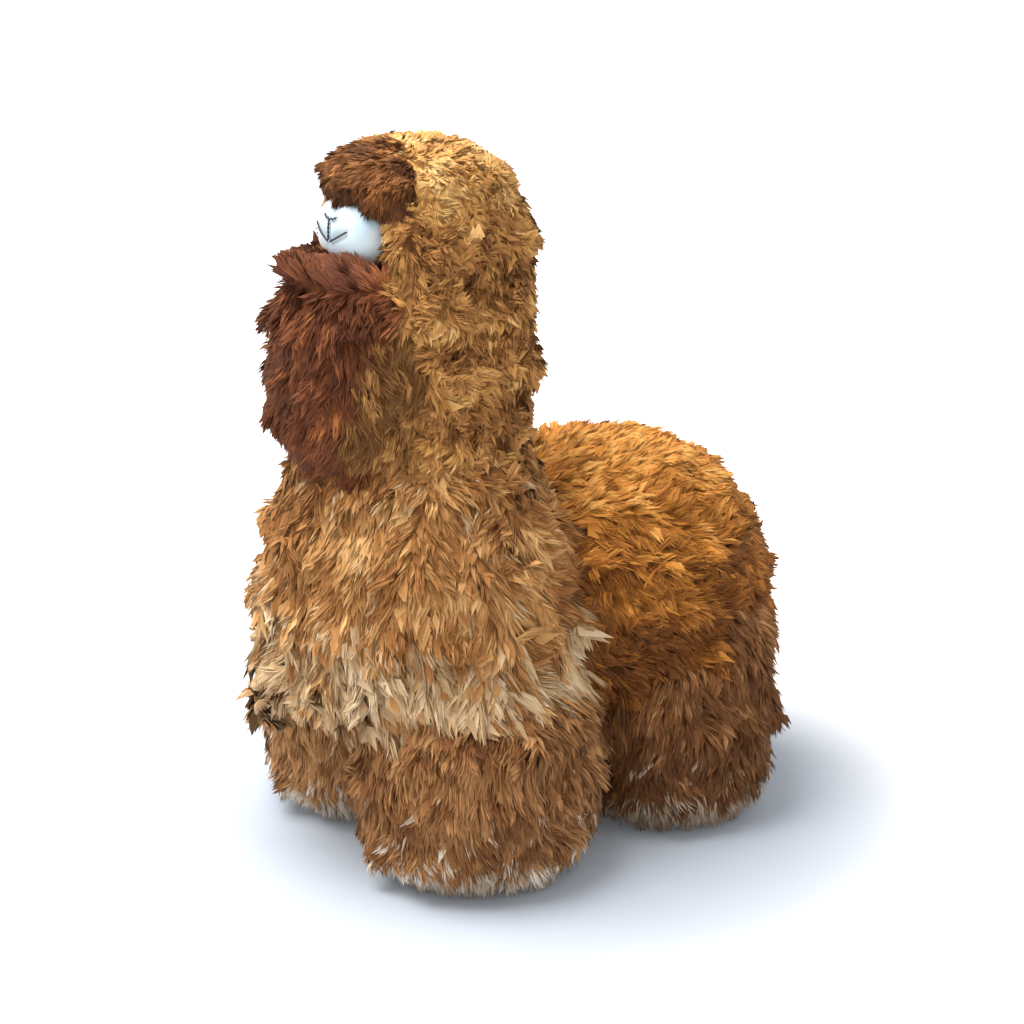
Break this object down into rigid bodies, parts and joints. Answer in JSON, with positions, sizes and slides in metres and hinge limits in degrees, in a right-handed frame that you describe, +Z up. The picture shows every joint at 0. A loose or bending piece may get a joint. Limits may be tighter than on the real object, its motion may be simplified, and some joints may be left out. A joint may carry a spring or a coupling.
{
  "type": "stuffed alpaca",
  "caption": "Standing stuffed alpaca sewn from patches of real alpaca fleece, with a tall neck, a pale cloth muzzle with an embroidered nose, and stout fleece legs.",
  "frame": {"origin": "on the floor, under the middle of the outline", "axes": "+Z up, the animal looks along -Y, its left side is +X"},
  "size_m": [0.1841, 0.2415, 0.2948],
  "materials": {
    "golden_fleece": "long wavy golden brown pile with pale tips",
    "orange_fleece": "dense fluffy orange brown pile",
    "neck_fleece": "short curly olive brown pile",
    "auburn_fleece": "dense dark red brown pile",
    "umber_fleece": "short dark brown pile",
    "leg_fleece": "brown pile with grey beige tips at the hem",
    "muzzle_cloth": "pale blue white velvet, matt",
    "thread": "dark navy embroidery thread"
  },
  "bodies": {
    "root": {"chest_pelt": "golden_fleece", "back_pelt": "orange_fleece", "neck_pelt": "neck_fleece", "throat_ruff": "auburn_fleece", "forelock": "umber_fleece", "leg_front_left": "leg_fleece", "leg_front_right": "leg_fleece", "leg_rear_left": "leg_fleece", "leg_rear_right": "leg_fleece", "tail": "leg_fleece", "muzzle": "muzzle_cloth", "nose_line": "thread", "nostril_left": "thread", "nostril_right": "thread", "mouth_left": "thread", "mouth_right": "thread"}
  },
  "joints": []
}
